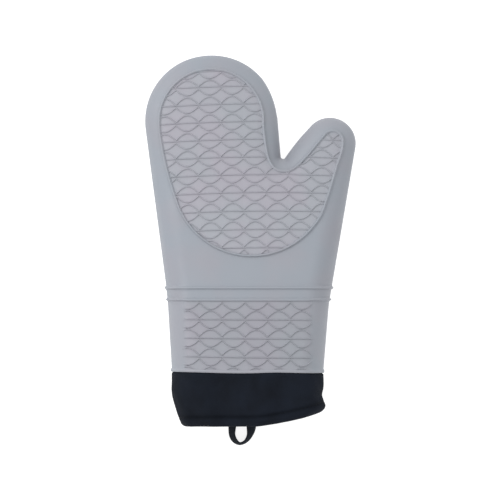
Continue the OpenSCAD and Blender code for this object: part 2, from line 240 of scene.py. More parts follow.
def places(theta, y_at, sides, inset):
    """Points at angle theta round the mitt, 0 on the thumb side and 90 over the palm, between
    the sides moved in by inset. y_at gives y at x."""
    y = np.full(np.shape(theta), -120.0)
    for _ in range(8):
        left, right = between(sides, y, inset)
        x = (left + right) / 2 + (right - left) / 2 * np.cos(theta)
        y = y_at(x)
    return x, y


def outline(left, right):
    """The outline from the lower right end, round the thumb and fingers, to the lower left end."""
    thumb_from = touch_angle(PALM_RIGHT, THUMB_C, THUMB_R, 1)
    thumb_to = touch_angle(CROTCH_C, THUMB_C, THUMB_R + CROTCH_R, -1) + 360
    finger_from = touch_angle(CROTCH_C, FINGER_C, FINGER_R + CROTCH_R, 1)
    finger_to = touch_angle(PALM_LEFT, FINGER_C, FINGER_R, -1) + 360
    down = np.arange(-160.0, PALM_LEFT[1], 1.5)
    right_side = smooth(np.stack([side_line(right, down), down], 1), 6)
    left_side = smooth(np.stack([side_line(left, down), down], 1), 6)
    inner = resample([polar(THUMB_C, THUMB_R, thumb_to),
                      polar(CROTCH_C, CROTCH_R, thumb_to + 180)], 2)
    inner -= normals_of(inner) * THUMB_BULGE * np.sin(np.linspace(0, np.pi, len(inner)))[:, None]
    tip = np.linspace(finger_from, finger_to, 110)
    flat = FINGER_FLAT[2] * np.sin(np.pi * ramp(tip - FINGER_FLAT[0], FINGER_FLAT[1]))
    flat += TIP_FLAT[2] * bell(tip - TIP_FLAT[0], TIP_FLAT[1])
    round_top = np.concatenate([
        resample([PALM_RIGHT, polar(THUMB_C, THUMB_R, thumb_from)], 2)[:-1],
        polar(THUMB_C, THUMB_R, np.linspace(thumb_from, thumb_to, 40)),
        inner[1:-1],
        polar(CROTCH_C, CROTCH_R, np.linspace(thumb_to + 180, finger_from + 180, 40)),
        resample([polar(CROTCH_C, CROTCH_R, finger_from + 180),
                  polar(FINGER_C, FINGER_R, finger_from)], 2)[1:-1],
        polar(FINGER_C, FINGER_R - flat, tip),
        resample([polar(FINGER_C, FINGER_R, finger_to), PALM_LEFT], 2)[1:],
    ])
    return np.concatenate([right_side, round_top, left_side[::-1]])


def even_curve(table, rounds):
    """A smooth curve through a table of (x, y)."""
    xs, ys = np.array(table, float).T
    fine = np.linspace(xs[0], xs[-1], 200)
    return smooth(np.stack([fine, np.interp(fine, xs, ys)], 1), rounds).T


HEM_CURVE = even_curve(HEM_LINE, 12)
RIM_CURVE = even_curve(RIM_LINE, 60)


def hem_y(x):
    return np.interp(x, *HEM_CURVE)


def rim_y(x):
    """The rim isn't quite square across: it dips in the middle and again on the thumb side."""
    return np.interp(x, *RIM_CURVE)


SHELL_SIDES = LEFT_SIDE, RIGHT_SIDE
SHELL_LINE = outline(*SHELL_SIDES)
LINER_LINE = outline(CUFF_LEFT + LEFT_SIDE[2:], CUFF_RIGHT + RIGHT_SIDE[2:])
SHELL_FIELD = Field(SHELL_LINE)
LINER_FIELD = Field(LINER_LINE)

# The bead round the patterned panel runs through these points
PANEL_LINE = np.concatenate([
    polar(FINGER_C, 43.9, np.arange(-4, 181, 8.0)),
    [(-76.6, 101.5), (-75.3, 92.3), (-72.6, 77.8), (-68.9, 62.5)],
    polar((1.2, 62.3), 66.9, np.arange(196, 340, 8.0)),
    [(66.3, 48.5), (69.6, 59.8), (73.6, 73.6), (77.2, 84.5)],
    polar((69.8, 92.8), 8.3, np.arange(0, 145, 20.0)),
    [(60.2, 94.3), (51.0, 83.3), (43.0, 74.4), (37.2, 69.2), (32.8, 67.2), (28.5, 66.7),
     (24.6, 67.1), (20.9, 68.9), (17.5, 72.6), (15.0, 78.0), (13.4, 85.0), (12.2, 93.0),
     (11.4, 100.0)],
])


def spline(a, b, c, d, count):
    """Points of a Catmull-Rom curve from b up to c."""
    return [0.5 * (2 * b + (c - a) * t + (2 * a - 5 * b + 4 * c - d) * t ** 2
                   + (3 * b - a - 3 * c + d) * t ** 3)
            for t in np.linspace(0, 1, count, endpoint=False)]


def rounded(points, step, rounds):
    """A closed smooth line through the points."""
    p = np.asarray(points)
    n = len(p)
    fine = []
    for i in range(n):
        fine += spline(p[i - 1], p[i], p[(i + 1) % n], p[(i + 2) % n], 8)
    fine = resample(np.array(fine + fine[:1]), step)[:-1]
    return smooth(fine, rounds, closed=True)


PANEL_LINE = rounded(PANEL_LINE, 1.3, 2)
PANEL_FIELD = Field(PANEL_LINE, closed=True)


# ---------------- the mitt's surface
def palm_z(y):
    """Height of the palm face over the floor."""
    upper = TIP_H + (RIM_H - TIP_H) * (TIP_Y - y) / (TIP_Y - RIM_Y)
    lower = RIM_H + (HEM_H - RIM_H) * (RIM_Y - y) / CUFF_LENGTH
    return np.where(y > RIM_Y, upper, lower)


def neighbours(grid):
    """Sum of the four values next to each inner one."""
    return grid[2:, 1:-1] + grid[:-2, 1:-1] + grid[1:-1, 2:] + grid[1:-1, :-2]


def swelling(field):
    """A smooth map, on a grid, that is 0 at the outline and 1 in the middle of the palm."""
    step = SWELL_STEP
    xs, ys = np.arange(-99, 99, step), np.arange(-158, 172, step)
    gx, gy = np.meshgrid(xs, ys, indexing="ij")
    inside = (field(np.stack([gx.ravel(), gy.ravel()], 1))[0] > 0).reshape(gx.shape)
    inside[[0, -1], :] = inside[:, -1] = False
    u = np.zeros(gx.shape)
    parity = (np.add.outer(np.arange(len(xs)), np.arange(len(ys))) % 2).astype(bool)
    for _ in range(SWELL_ROUNDS):
        for colour in (inside & parity, inside & ~parity):
            around = np.zeros_like(u)
            around[1:-1, 1:-1] = (neighbours(u) + step * step) / 4
            around[:, 0] = u[:, 1]
            u = np.where(colour, u + SWELL_PUSH * (around - u), u)
    t = np.sqrt(np.maximum(2 * u, 0))
    t = np.minimum(t / SWELL_DEPTH, SWELL_CAP)
    for _ in range(SWELL_EVEN):
        t[1:-1, 1:-1] = (t[1:-1, 1:-1] * 2 + neighbours(t)) / 6
    return xs, ys, t


SWELL = swelling(SHELL_FIELD)


def on_grid(grid, x, y):
    """Values read between the points of a grid."""
    xs, ys, t = grid
    fx = np.clip((x - xs[0]) / (xs[1] - xs[0]), 0, len(xs) - 1.001)
    fy = np.clip((y - ys[0]) / (ys[1] - ys[0]), 0, len(ys) - 1.001)
    i, j = fx.astype(int), fy.astype(int)
    a, b = fx - i, fy - j
    return (t[i, j] * (1 - a) * (1 - b) + t[i + 1, j] * a * (1 - b)
            + t[i, j + 1] * (1 - a) * b + t[i + 1, j + 1] * a * b)


def surface(xy, side, inset=0.0, field=SHELL_FIELD, rise=0.0, depth=None):
    """The points over xy on the palm (side 1) or the back (side -1), inset from the outside
    and raised by rise along the surface's normal."""
    d, n = field(xy)
    if depth is not None:
        d = depth
    x, y = xy.T
    t = ramp(d - inset, EDGE_W)
    r = 1 - (1 - t) ** EDGE_P
    full = r ** (1 / EDGE_Q) * (1 - PILLOW + PILLOW * on_grid(SWELL, x, y))
    mid = palm_z(y) / 2
    half = mid - inset - (BACK_ROOM if side < 0 else 0)
    z = mid + side * half * full
    steep = np.arctan2(half * EDGE_P / (EDGE_Q * EDGE_W) * (1 - t) ** (EDGE_P - 1),
                       np.maximum(r, 1e-9) ** (1 - 1 / EDGE_Q))
    out = -n * np.sin(steep)[:, None]
    normal = np.concatenate([out, side * np.cos(steep)[:, None]], 1)
    return np.column_stack([x, y, z]) + normal * np.reshape(rise, (-1, 1))


def round_mitt(theta, x, y, inset, sides, field):
    """Points on the palm where theta is up to 180 degrees, and on the back past it."""
    xy = np.stack([x, y], 1)
    left, right = between(sides, y)
    near = np.minimum(x - left, right - x)
    return np.where((np.sin(theta) >= 0)[:, None], surface(xy, 1, inset, field, depth=near),
                    surface(xy, -1, inset, field, depth=near))


# ---------------- ribs and beads
def bump(r, size):
    """Height of a round-topped rib at distance r from its middle."""
    return size[1] * np.clip(1 - (r / size[0]) ** 2, 0, 1)


def wave(x, x0, pitch):
    """0 at each cusp and 1 halfway between them."""
    return np.abs(np.sin(np.pi * (x - x0) / pitch)) ** WAVE_BLUNT


def panel_y(row, x):
    return row - ROW_ARCH * (x - ROW_ARCH_X) ** 2


def wrist_y(row, x):
    return row + ramp(WRIST_ROWS[0] - row, WRIST_BEND_OVER) * (WRIST_SLOPE * x + WRIST_BEND * x * x)


def rib_lines():
    """The middle lines of all ribs, clipped to the panel and to the wrist field."""
    lines = []
    x = np.arange(-95, 95, 0.45)

    def keep(px, py, good):
        for run in np.split(np.arange(len(px)), np.nonzero(np.diff(good))[0] + 1):
            if good[run[0]] and len(run) > 3:
                lines.append(np.stack([px[run], py[run]], 1))

    def row_of(top, low, g, upper, lower):
        """The straight rib of a row and its two scalloped ones."""
        return (top + 0 * g, top - (top - low) * (upper[0] + upper[1] * g),
                top - (top - low) * (lower[0] - lower[1] * g))

    for top, low in zip(PANEL_ROWS, PANEL_ROWS[1:]):
        drift = WAVE_DRIFT[2] * ramp(WAVE_DRIFT[0] - top, WAVE_DRIFT[1])
        g = wave(x, WAVE_X + drift, WAVE_PITCH)
        for r in row_of(top, low, g, UPPER_WAVE, LOWER_WAVE):
            y = panel_y(r, x)
            keep(x, y, PANEL_FIELD(np.stack([x, y], 1))[0] > -0.1)
    wx = x[(x >= WRIST_FIELD[0]) & (x <= WRIST_FIELD[1])]
    g = wave(wx, WRIST_WAVE_X, WRIST_PITCH)
    for top, low in zip(WRIST_ROWS, WRIST_ROWS[1:]):
        for r in row_of(top, low, g, WRIST_UPPER, WRIST_LOWER):
            y = wrist_y(r, wx)
            keep(wx, y, (y > rim_y(wx) + RIM_BEAD_UP + RIB_TO_BEAD[0])
                 & (y < BEAD_Y[1] - RIB_TO_BEAD[1]))
    return lines


RIB_LINES = rib_lines()
RIB_TREE = search_tree(np.concatenate([resample(p, 0.2) for p in RIB_LINES]))


def rib_distance(xy):
    return np.array([RIB_TREE.find((x, y, 0))[2] for x, y in xy])


def shell_rise(xy):
    """How far the ribs and beads stand out of the shell at each point."""
    x, y = xy.T
    rib = bump(rib_distance(xy), RIB)
    ends = ramp(np.minimum(x - WRIST_FIELD[0], WRIST_FIELD[1] - x), WRIST_FADE)
    rib = np.where(y < BEAD_Y[1], rib * ends ** 0.5, rib)
    parts = [rib, bump(PANEL_FIELD(xy)[0], PANEL_BEAD)]
    parts += [bump(y - bead, WRIST_BEAD) for bead in BEAD_Y]
    parts.append(bump(y - rim_y(x) - RIM_BEAD_UP, RIM_BEAD))
    return np.max(parts, 0)


def textured(xy):
    """1 on the ribbed panel and -1 on the ribbed wrist, fading to 0 at their edges."""
    x, y = xy.T
    wrist = np.minimum(np.minimum(x - WRIST_FIELD[0], WRIST_FIELD[1] - x), BEAD_Y[1] - y)
    return ramp(PANEL_FIELD(xy)[0], GROUND_FADE) - ramp(wrist, GROUND_FADE)


def offset_lines(line, size, closed=False, shares=(-1, -0.82, -0.45, 0, 0.45, 0.82, 1)):
    """Lines beside a rib's middle line, at shares of its half width, for the mesh to follow."""
    n = normals_of(line, closed)
    return [line + n * share * size[0] for share in shares]


# ---------------- triangulated skins
def hinge_facts(name):
    """A joint's place in millimetres and its unit axis."""
    joint = next(j for j in frame["joints"] if j["name"] == name)
    return np.array(joint["pos_m"], float) / MM, unit(np.array(joint["axis"], float))


THUMB_AXIS = hinge_facts("thumb_fold")[1]
# The thumb's pieces are split from the hand's past a line from here along the thumb's axis.
# BEND_L is a length that fold scales by, though nothing uses the result.
CROTCH = np.array([28.4, 77.4])
thumb_dir = THUMB_AXIS[:2] / np.hypot(*THUMB_AXIS[:2])
THUMB_N = np.array([-thumb_dir[1], thumb_dir[0]])
BEND_L = 23.0
# Height of a row of even triangles, as a share of their side
ROW_STEP = 0.87
# The filling points keep this far from a rib, the panel's bead, a wrist bead and the rim's bead
CLEAR_OF = (1.4, 1.9, 2, 2.4)
# Rings inside the outline that the shell's outside and inside follow
SHELL_RINGS, SHELL_FILL = (0, 0.12, 0.5, 1.1, 2.0, 3.2, 4.8, 6.8, 9.2), 2.6
SHELL_IN_RINGS, SHELL_IN_FILL = (0, 0.5, 1.6, 4, 8), 6
LINER_RINGS, LINER_FILLS = (0, 0.5, 1.6, 3.6, 6.4), (6, 3.2)
# A point this near the outline is shared by the palm and the back, and one this near the
# bottom line is on it
ON_EDGE, ON_BOTTOM = 0.03, 0.02


def cut_open(line, bottom):
    """The part of an outline above the bottom line, ending on it."""
    over = line[:, 1] - bottom(line[:, 0])
    keep = np.nonzero(over > ON_BOTTOM)[0]
    first, last = keep[0], keep[-1]

    def ending(a, b):
        t = over[a] / (over[a] - over[b])
        return line[a] + t * (line[b] - line[a])

    return np.concatenate([[ending(first, first - 1)], line[first:last + 1],
                           [ending(last, last + 1)]])


def triangles(line, field, inset, bottom, rings, lines, fill):
    """A triangulation of the area inside an outline and above its bottom line. Its edges follow
    rings near the outline, and the given lines. Returns points, triangles and depths."""
    verts, edges = [], []

    def add(points, closed=False):
        start = len(verts)
        verts.extend(points)
        edges.extend((start + i, start + i + 1) for i in range(len(points) - 1))
        if closed:
            edges.append((start + len(points) - 1, start))

    n = normals_of(line)
    ends = []
    for ring in rings:
        p = cut_open(line + n * (inset + ring), bottom)
        add(p)
        ends.append((p[0], p[-1]))
    (right, left) = ends[0]
    xs = (left[0] + right[0]) / 2 + (right[0] - left[0]) / 2 * -np.cos(np.linspace(0, np.pi, 60))
    add(np.stack([xs, np.append(np.append(left[1], bottom(xs[1:-1])), right[1])], 1))
    for p, closed in lines:
        add(p, closed)
    gx, gy = np.meshgrid(np.arange(-96.0, 96.0, fill), np.arange(-160.0, 170.0, fill * ROW_STEP))
    gx[1::2] += fill / 2
    grid = np.stack([gx.ravel(), gy.ravel()], 1)
    d = field(grid)[0]
    good = (d > inset + rings[-1] + fill * 0.6) & (grid[:, 1] > bottom(grid[:, 0]) + fill * 0.5)
    grid = grid[good]
    if len(lines) > 1:
        rib, panel, bead_gap, rim = CLEAR_OF
        clear = (rib_distance(grid) > rib) & (np.abs(PANEL_FIELD(grid)[0]) > panel)
        for bead in BEAD_Y:
            clear &= np.abs(grid[:, 1] - bead) > bead_gap
        clear &= np.abs(grid[:, 1] - rim_y(grid[:, 0]) - RIM_BEAD_UP) > rim
        grid = grid[clear]
    verts.extend(grid)
    out = delaunay_2d_cdt([Vector(v) for v in verts], edges, [], 0, 1e-4, False)
    xy, tris = np.array([tuple(v) for v in out[0]]), np.array(out[2])
    a, b, c = (xy[tris[:, i]] for i in range(3))
    area = (b[:, 0] - a[:, 0]) * (c[:, 1] - a[:, 1]) - (b[:, 1] - a[:, 1]) * (c[:, 0] - a[:, 0])
    tris = np.where((area < 0)[:, None], tris[:, ::-1], tris)
    centre = (a + b + c) / 3
    depth = field(centre)[0]
    good = ((depth > inset + 1e-3) & (centre[:, 1] > bottom(centre[:, 0]) - 0.01)
            & (abs(area) > 1e-5))
    tris = tris[good]
    used, tris = np.unique(tris, return_inverse=True)
    xy, tris = xy[used], tris.reshape(-1, 3)
    d = field(xy)[0]
    return xy, tris, d


def two_sides(xy, tris, d, inset, bottom, make):
    """Palm and back from one triangulation, joined along the outline. make(xy, side, depth)
    gives the points. Returns points, faces, the points round the open end, over the palm from
    left to right and back below, and for each palm point the back's."""
    rim = d < inset + ON_EDGE
    depth = np.where(rim, inset, d)
    palm, back = make(xy, 1, depth), make(xy, -1, depth)
    order = np.cumsum(~rim) - 1 + len(xy)
    to_back = np.where(rim, np.arange(len(xy)), order)
    points = np.concatenate([palm, back[~rim]])
    faces = np.concatenate([tris, to_back[tris][:, ::-1]])
    low = np.nonzero(np.abs(xy[:, 1] - bottom(xy[:, 0])) < ON_BOTTOM)[0]
    low = low[np.argsort(xy[low, 0])]
    mouth = list(low) + [to_back[i] for i in low[::-1] if to_back[i] != i]
    return points, faces, mouth, to_back


def zip_loops(points, a, b):
    """Triangles between two loops that start near each other and run the same way."""
    sa, sb = (lengths(points[loop + loop[:1]]) for loop in (a, b))
    sa, sb = sa / sa[-1], sb / sb[-1]
    i = j = 0
    faces = []
    while i < len(a) or j < len(b):
        if j >= len(b) or (i < len(a) and sa[i + 1] <= sb[j + 1]):
            faces.append((a[i % len(a)], a[(i + 1) % len(a)], b[j % len(b)]))
            i += 1
        else:
            faces.append((a[i % len(a)], b[(j + 1) % len(b)], b[j % len(b)]))
            j += 1
    return np.array(faces)


def point_normals(points, faces):
    a, b, c = (points[faces[:, i]] for i in range(3))
    n = np.cross(b - a, c - a)
    total = np.zeros_like(points)
    for i in range(3):
        np.add.at(total, faces[:, i], n)
    return total / np.maximum(np.linalg.norm(total, axis=1), 1e-12)[:, None]


def is_thumb(points, faces):
    """Which faces lie past the line where the thumb starts to bend."""
    centre = points[faces].mean(1)[:, :2]
    return ((centre - CROTCH) @ THUMB_N > 0) & (centre[:, 0] > CROTCH[0])


def link(obj):
    bpy.context.scene.collection.objects.link(obj)
    return obj


def mesh_object(name, points, faces, normals=None, attributes=None):
    """A smooth-shaded object from points in millimetres."""
    faces = np.asarray(faces)
    used, renumbered = np.unique(faces, return_inverse=True)
    mesh = bpy.data.meshes.new(name)
    mesh.from_pydata((points[used] * MM).tolist(), [], renumbered.reshape(faces.shape).tolist())
    mesh.shade_smooth()
    for key, values in (attributes or {}).items():
        layer = mesh.attributes.new(key, "FLOAT", "POINT")
        layer.data.foreach_set("value", values[used].astype(np.float32))
    if normals is not None:
        mesh.normals_split_custom_set_from_vertices(normals[used].tolist())
    mesh.update()
    return link(bpy.data.objects.new(name, mesh))


def strip(points, closed=False):
    """Quads between rows of points: shape (rows, columns, 3)."""
    rows, cols = points.shape[:2]
    faces = []
    for j in range(rows - 1):
        for i in range(cols - (0 if closed else 1)):
            k = (i + 1) % cols
            faces.append((j * cols + i, (j + 1) * cols + i, (j + 1) * cols + k, j * cols + k))
    return points.reshape(-1, 3), np.array(faces)


def tube(grid):
    """Triangles over rows of rings, closed at both ends."""
    points, quads = strip(grid, closed=True)
    quads = quads[:, ::-1]
    count = grid.shape[1]
    first, last = np.arange(count)[::-1], np.arange(count) + len(points) - count
    caps = [(end[0], end[i], end[i + 1]) for end in (first, last) for i in range(1, count - 1)]
    return points, np.concatenate([quads[:, [0, 1, 2]], quads[:, [0, 2, 3]], caps])


def fold(obj, start, way):
    """Bakes a piece's placement into its mesh. Its start and way are not used."""
    start, way = Vector((*start, 0)) * MM, Vector((*way, 0)) * BEND_L * MM
    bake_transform(obj)


def hand_and_thumb(names, outer, inner, marks=None):
    """Two skins, each (points, faces, mouth), joined round the mouth, and cut into the hand's
    and the thumb's piece. The outer one's points may have marks."""
    (points, faces, mouth), (more, more_faces, more_mouth) = outer, inner
    start = len(points)
    points = np.concatenate([points, more])
    faces = np.concatenate([faces, more_faces[:, ::-1] + start,
                            zip_loops(points, mouth, [i + start for i in more_mouth])])
    normals, thumb = point_normals(points, faces), is_thumb(points, faces)
    marks = {key: np.append(values, np.zeros(len(more))) for key, values in (marks or {}).items()}
    hand, tip = (mesh_object(name, points, faces[part], normals, marks)
                 for name, part in zip(names, (~thumb, thumb)))
    fold(hand, (0, CROTCH[1]), (0, 1))
    fold(tip, CROTCH, THUMB_N)
    return hand, tip


# The line where the thumb's pieces meet the hand's. It is an edge of every mesh that is cut there.
thumb_split = np.array([CROTCH + thumb_dir * t for t in np.arange(0.3, 70, 2.0)])
thumb_split = thumb_split[SHELL_FIELD(thumb_split)[0] > 0.3]
far_end = thumb_split[-1] + thumb_dir * SHELL_FIELD(thumb_split[-1:])[0][0] * 1.2
thumb_split = (np.concatenate([[CROTCH - thumb_dir * 0.05], thumb_split, [far_end]]), False)


# ---------------- silicone shell
# Mesh steps along straight and curved ribs, how far lines may run out past the outline, and
# where the mesh follows the rim's bead
STRAIGHT_STEP, CURVED_STEP = 2.4, 1.0
LINE_OVERRUN = 0.6
RIM_BEAD_SHARES = (-0.6, -0.3, 0, 0.4, 0.75, 1)


def shell():
    """The moulded shell, ribbed outside and plain inside, split where the thumb bends."""
    lines = [thumb_split]
    for line in RIB_LINES:
        straight = abs(np.diff(line[:, 1])).max() < 0.05
        line = resample(line, STRAIGHT_STEP if straight else CURVED_STEP)
        lines += [(p, False) for p in offset_lines(line, RIB)]
    lines += [(p, True) for p in offset_lines(PANEL_LINE, PANEL_BEAD, closed=True)]
    for bead in BEAD_Y:
        row = np.array([(x, bead) for x in np.linspace(-80, 80, 60)])
        lines += [(p, False) for p in offset_lines(row, WRIST_BEAD)]
    x = np.linspace(-72, 68, 56)
    row = np.stack([x, rim_y(x) + RIM_BEAD_UP], 1)
    lines += [(p, False) for p in offset_lines(row, RIM_BEAD, shares=RIM_BEAD_SHARES)]
    cut = [(p if closed else p[SHELL_FIELD(p)[0] > -LINE_OVERRUN], closed)
           for p, closed in lines]
    xy, tris, d = triangles(SHELL_LINE, SHELL_FIELD, 0, rim_y, SHELL_RINGS, cut, SHELL_FILL)
    rise = shell_rise(xy)
    *outer, to_back = two_sides(
        xy, tris, d, 0, rim_y, lambda p, side, depth: surface(p, side, rise=rise, depth=depth))
    inner = two_sides(*triangles(SHELL_LINE, SHELL_FIELD, SHELL_T, rim_y, SHELL_IN_RINGS,
                                 [thumb_split], SHELL_IN_FILL), SHELL_T, rim_y,
                      lambda p, side, depth: surface(p, side, inset=SHELL_T, depth=depth))[:3]

    def on_both_faces(values):
        full = np.zeros(len(outer[0]))
        full[:len(xy)] = full[to_back] = values
        return full

    marks = {"rib": on_both_faces(rise / RIB[1]), "ground": on_both_faces(textured(xy))}
    made = hand_and_thumb(("silicone_shell_hand", "silicone_shell_thumb"), outer, inner, marks)
    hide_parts("shell_hand", "shell_fingers")
    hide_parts("shell_thumb")
    return made


shells = shell()


# ---------------- fabric cuff
CUFF_TOP = -93.0
# The hem: radius of its turn, how far it comes back up inside, and its line of stitches
HEM_R = 3.4
HEM_TURN = 9.5
FABRIC_T = 0.5
STITCH_UP = 7.6
# How far the hem leans in below its stitches, what they draw in, and the fullness below them
HEM_LEAN = 1.3
HEM_DRAWN, HEM_DRAWN_W = 1.3, 1.2
HEM_FULL, HEM_FULL_UP, HEM_FULL_W = 0.45, 3.8, 1.9
# How much of that is missing at the side seams, and the spread of the shade painted into the
# cloth's colour along the stitches
SEAM_EASE = 0.85
STITCH_SHADE_W = 2.2
# How far the turned-in cloth and its edge stay outside the turn's full width
TURN_IN, EDGE_IN = 0.2, 0.9
# How far the fabric comes out below the shell's rim, and over what length
TUCK_FROM, TUCK_OVER = 0.1, 1.3
# Cloth: the most a point may move, how much of a sideways move the seams take away, and the
# share of a lengthwise move that is kept
SAG_CAP = 3.2
SEAM_HOLD = 0.92
SAG_ALONG = 0.15
# The cloth is simulated at this scale, over so many frames
CLOTH_SCALE, CLOTH_FRAMES, CLOTH_GRAVITY = 10, 30, 0.05
CLOTH = dict(quality=6, mass=0.25, tension_stiffness=18, compression_stiffness=18,
             shear_stiffness=8, bending_stiffness=3, tension_damping=8, compression_damping=8,
             shear_damping=8, bending_damping=1, vertex_group_mass="pins", pin_stiffness=1.2,
             shrink_min=-0.012, shrink_max=-0.012, use_pressure=True,
             uniform_pressure_force=0.3)
# It is sewn in from this y up over this length, and lies on the floor from this z down over
# this length. FLOOR_HOLD is the hold there, and LEAST_HOLD the hold everywhere.
SEWN, LYING = (-110, 6), (9, 7)
FLOOR_HOLD, LEAST_HOLD = 0.75, 0.06
FLOOR_GAP = 0.3
# Points round and along the cuff's cloth, and rows of its mesh outside, in the turn and inside
AROUND, ALONG = 168, 34
OUTSIDE_ROWS = ALONG + 12
TURN_STEPS = np.radians(np.arange(15, 180, 15.0))
INSIDE_ROWS = 8


def cuff_place(theta, drop, inset):
    """Points of the cuff at angle theta round it, at a share drop of the way from its top to
    the hem, and inset from its outside. Past 1, drop is in millimetres back up from the hem."""
    def y_at(x):
        low = hem_y(x)
        return np.where(drop <= 1, CUFF_TOP + (low + HEM_R - CUFF_TOP) * np.minimum(drop, 1),
                        low + drop - 1)

    return places(theta, y_at, CUFF_SIDES, inset)


def cuff_point(theta, drop, inset):
    """Points of the cuff in space, for the same theta, drop and inset as cuff_place."""
    theta, drop, inset = np.broadcast_arrays(*(np.asarray(v, float) for v in (theta, drop, inset)))
    shape = theta.shape
    theta, drop, inset = theta.ravel(), drop.ravel(), inset.ravel()
    x, y = cuff_place(theta, drop, inset)
    p = round_mitt(theta, x, y, inset, CUFF_SIDES, LINER_FIELD) + sag_at(theta, drop)
    return p.reshape(shape + (3,))


def evened(table):
    """A side's table of (y, x) as a smooth one."""
    y = np.arange(-160.0, -80.0, 0.5)
    return smooth(np.stack([y, side_line(table, y)], 1), 14)


CUFF_SIDES = evened(CUFF_LEFT), evened(CUFF_RIGHT)
# How far the cloth has sunk, at rows of drop and columns of theta. It is filled in below.
CUFF_SAG = np.zeros((ALONG, AROUND, 3))


def sag_at(theta, drop):
    """How far the cloth simulation moved the cuff there."""
    rows, cols = CUFF_SAG.shape[:2]
    a = (theta / (2 * np.pi)) % 1 * cols
    b = np.clip(drop, 0, 1) * (rows - 1)
    i, j = np.floor(a).astype(int) % cols, np.minimum(np.floor(b).astype(int), rows - 2)
    fa, fb = (a - np.floor(a))[:, None], (b - j)[:, None]
    k = (i + 1) % cols
    g = CUFF_SAG
    return ((g[j, i] * (1 - fa) + g[j, k] * fa) * (1 - fb)
            + (g[j + 1, i] * (1 - fa) + g[j + 1, k] * fa) * fb)


def cuff_inset(x, y):
    """The fabric is tucked under the shell's rim and comes out flush with it below."""
    t = ramp(rim_y(x) + TUCK_FROM - y, TUCK_OVER)
    return CUFF_IN * (1 - t * t * (3 - 2 * t))


def simulate_cuff():
    """The cuff as cloth: sewn in at the rim, a little slack, and sinking under its own weight."""
    theta = np.arange(AROUND) / AROUND * 2 * np.pi
    drop = np.linspace(0, 1, ALONG)
    tt, dd = np.meshgrid(theta, drop)
    points, faces = strip(cuff_point(tt, dd, 0.0), closed=True)
    outwards = np.roll(faces[:, ::-1], 1, axis=1)
    mesh = bpy.data.meshes.new("cuff_cloth")
    mesh.from_pydata((points * MM * CLOTH_SCALE).tolist(), [], outwards.tolist())
    obj = link(bpy.data.objects.new("cuff_cloth", mesh))
    pins = obj.vertex_groups.new(name="pins")
    for n, (_, y, z) in enumerate(points):
        sewn = ramp(y - SEWN[0], SEWN[1])
        lying = FLOOR_HOLD * ramp(LYING[0] - z, LYING[1])
        pins.add([n], float(max(sewn, lying, LEAST_HOLD)), "REPLACE")
    cloth = obj.modifiers.new("cloth", "CLOTH")
    for key, value in CLOTH.items():
        setattr(cloth.settings, key, value)
    cloth.settings.effector_weights.gravity = CLOTH_GRAVITY
    cloth.collision_settings.use_collision = False
    cloth.collision_settings.use_self_collision = False
    scene = bpy.context.scene
    for f in range(1, CLOTH_FRAMES + 1):
        scene.frame_set(f)
    out = np.zeros(len(points) * 3, np.float32)
    obj.evaluated_get(bpy.context.evaluated_depsgraph_get()).data.vertices.foreach_get("co", out)
    moved = out.reshape(-1, 3) / (MM * CLOTH_SCALE) - points
    scene.frame_set(1)
    bpy.data.objects.remove(obj)
    bpy.data.meshes.remove(mesh)
    seam = np.abs(np.cos(tt.ravel()))
    moved[:, 0] *= 1 - SEAM_HOLD * seam ** 3
    moved[:, 1] *= SAG_ALONG
    size = np.linalg.norm(moved, axis=1)
    moved *= (np.tanh(size / SAG_CAP) * SAG_CAP / np.maximum(size, 1e-9))[:, None]
    low = points[:, 2] + moved[:, 2]
    moved[:, 2] += np.maximum(FLOOR_GAP - low, 0)
    return moved.reshape(ALONG, AROUND, 3)


# Waves round the cuff, as (number round, number along, phase, size)
RIPPLES = ((5, 2.1, 0.4, 0.35), (9, 3.7, 1.9, 0.25), (14, 1.3, 4.2, 0.16), (23, 5.1, 2.6, 0.10))


def ripples(theta, drop):
    """Small unevenness of hand-pressed fabric, the same on every run."""
    total = np.zeros(np.shape(theta))
    for k, f, phase, size in RIPPLES:
        total = total + size * np.sin(k * theta + f * drop * 3 + phase)
    return total * np.clip(drop * 1.6, 0, 1)


CUFF_SAG = simulate_cuff()


def arc_lengths(points):
    """Distance along each row and down each column of a grid of points."""
    u = np.zeros(points.shape[:2])
    v = np.zeros(points.shape[:2])
    u[:, 1:] = np.cumsum(np.linalg.norm(np.diff(points, axis=1), axis=2), 1)
    v[1:] = np.cumsum(np.linalg.norm(np.diff(points, axis=0), axis=2), 0)
    return u * MM, v * MM


def hem_pucker(theta, up):
    """The stitching draws both faces in, less so at the side seams, and the turned edge below
    it is a little fuller."""
    drawn = HEM_DRAWN * bell(up - STITCH_UP, HEM_DRAWN_W)
    full = HEM_FULL * bell(up - HEM_FULL_UP, HEM_FULL_W)
    return (drawn - full) * (1 - SEAM_EASE * np.abs(np.cos(theta)) ** 6)


def hem_inside(theta, up):
    """Inset of the turned-in cloth at a height above the hem."""
    return 2 * HEM_R - TURN_IN - hem_pucker(theta, up) * 0.6


def hem_drop(theta, up):
    """Below its stitching the hem leans in a little, except at the side seams."""
    return HEM_LEAN * np.abs(np.sin(theta)) ** 0.5 * np.clip(1 - up / STITCH_UP, 0, 1)


